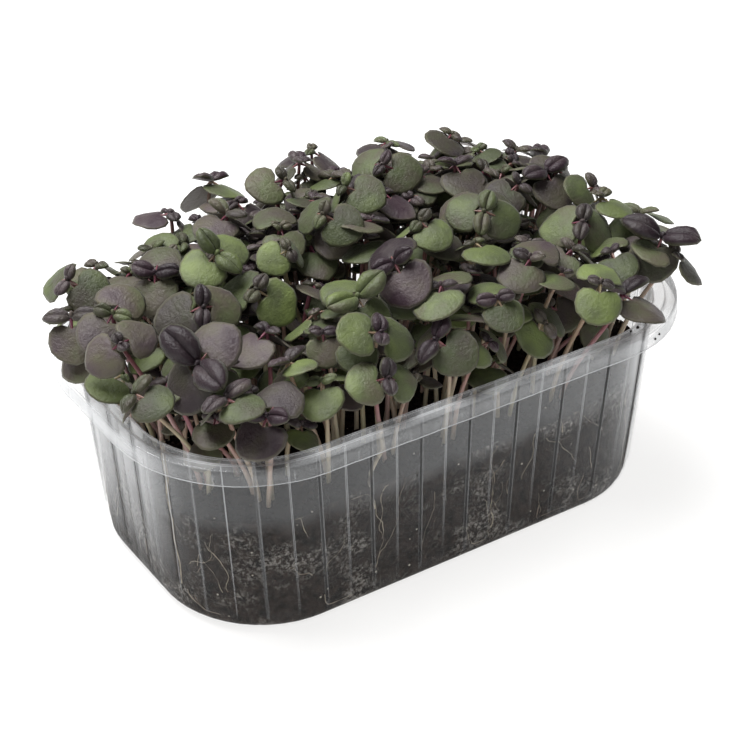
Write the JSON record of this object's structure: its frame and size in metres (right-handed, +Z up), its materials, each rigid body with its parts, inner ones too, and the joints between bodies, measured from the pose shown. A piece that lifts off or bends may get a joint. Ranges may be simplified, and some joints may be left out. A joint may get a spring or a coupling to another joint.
{
  "type": "microgreens tray",
  "caption": "Clear rectangular plastic punnet of dark potting mix with a dense stand of purple basil seedlings.",
  "frame": {"origin": "centre of the punnet's flat underside", "axes": "+Z up out of the punnet's mouth, +X along its length, -Y towards one long side"},
  "size_m": [0.1991, 0.1302, 0.1048],
  "materials": {
    "clear_pet": "clear thermoformed PET sheet, glossy",
    "potting_mix": null,
    "leaf_green": null,
    "leaf_bronze": null,
    "leaf_purple": null
  },
  "bodies": {
    "root": {"punnet": "clear_pet", "soil": "potting_mix", "seedlings_01": "leaf_bronze", "seedlings_02": "leaf_green", "seedlings_03": "leaf_bronze", "seedlings_04": "leaf_bronze", "seedlings_05": "leaf_green", "seedlings_06": "leaf_bronze", "seedlings_07": "leaf_bronze", "seedlings_08": "leaf_bronze", "seedlings_09": "leaf_bronze", "seedlings_10": "leaf_purple", "seedlings_11": "leaf_purple", "seedlings_12": "leaf_purple", "seedlings_13": "leaf_bronze", "seedlings_14": "leaf_bronze", "seedlings_15": "leaf_bronze", "seedlings_16": "leaf_bronze", "seedlings_17": "leaf_green", "seedlings_18": "leaf_bronze", "seedlings_19": "leaf_bronze", "seedlings_20": "leaf_bronze", "seedlings_21": "leaf_bronze", "seedlings_22": "leaf_bronze", "seedlings_23": "leaf_bronze", "seedlings_24": "leaf_bronze", "seedlings_25": "leaf_bronze", "seedlings_26": "leaf_purple", "seedlings_27": "leaf_green", "seedlings_28": "leaf_bronze", "seedlings_29": "leaf_bronze", "seedlings_30": "leaf_green", "seedlings_31": "leaf_bronze", "seedlings_32": "leaf_bronze", "seedlings_33": "leaf_bronze", "seedlings_34": "leaf_bronze", "seedlings_35": "leaf_bronze", "seedlings_36": "leaf_bronze", "seedlings_37": "leaf_purple", "seedlings_38": "leaf_bronze", "seedlings_39": "leaf_bronze", "seedlings_40": "leaf_bronze", "seedlings_41": "leaf_bronze", "seedlings_42": "leaf_bronze"}
  },
  "joints": []
}
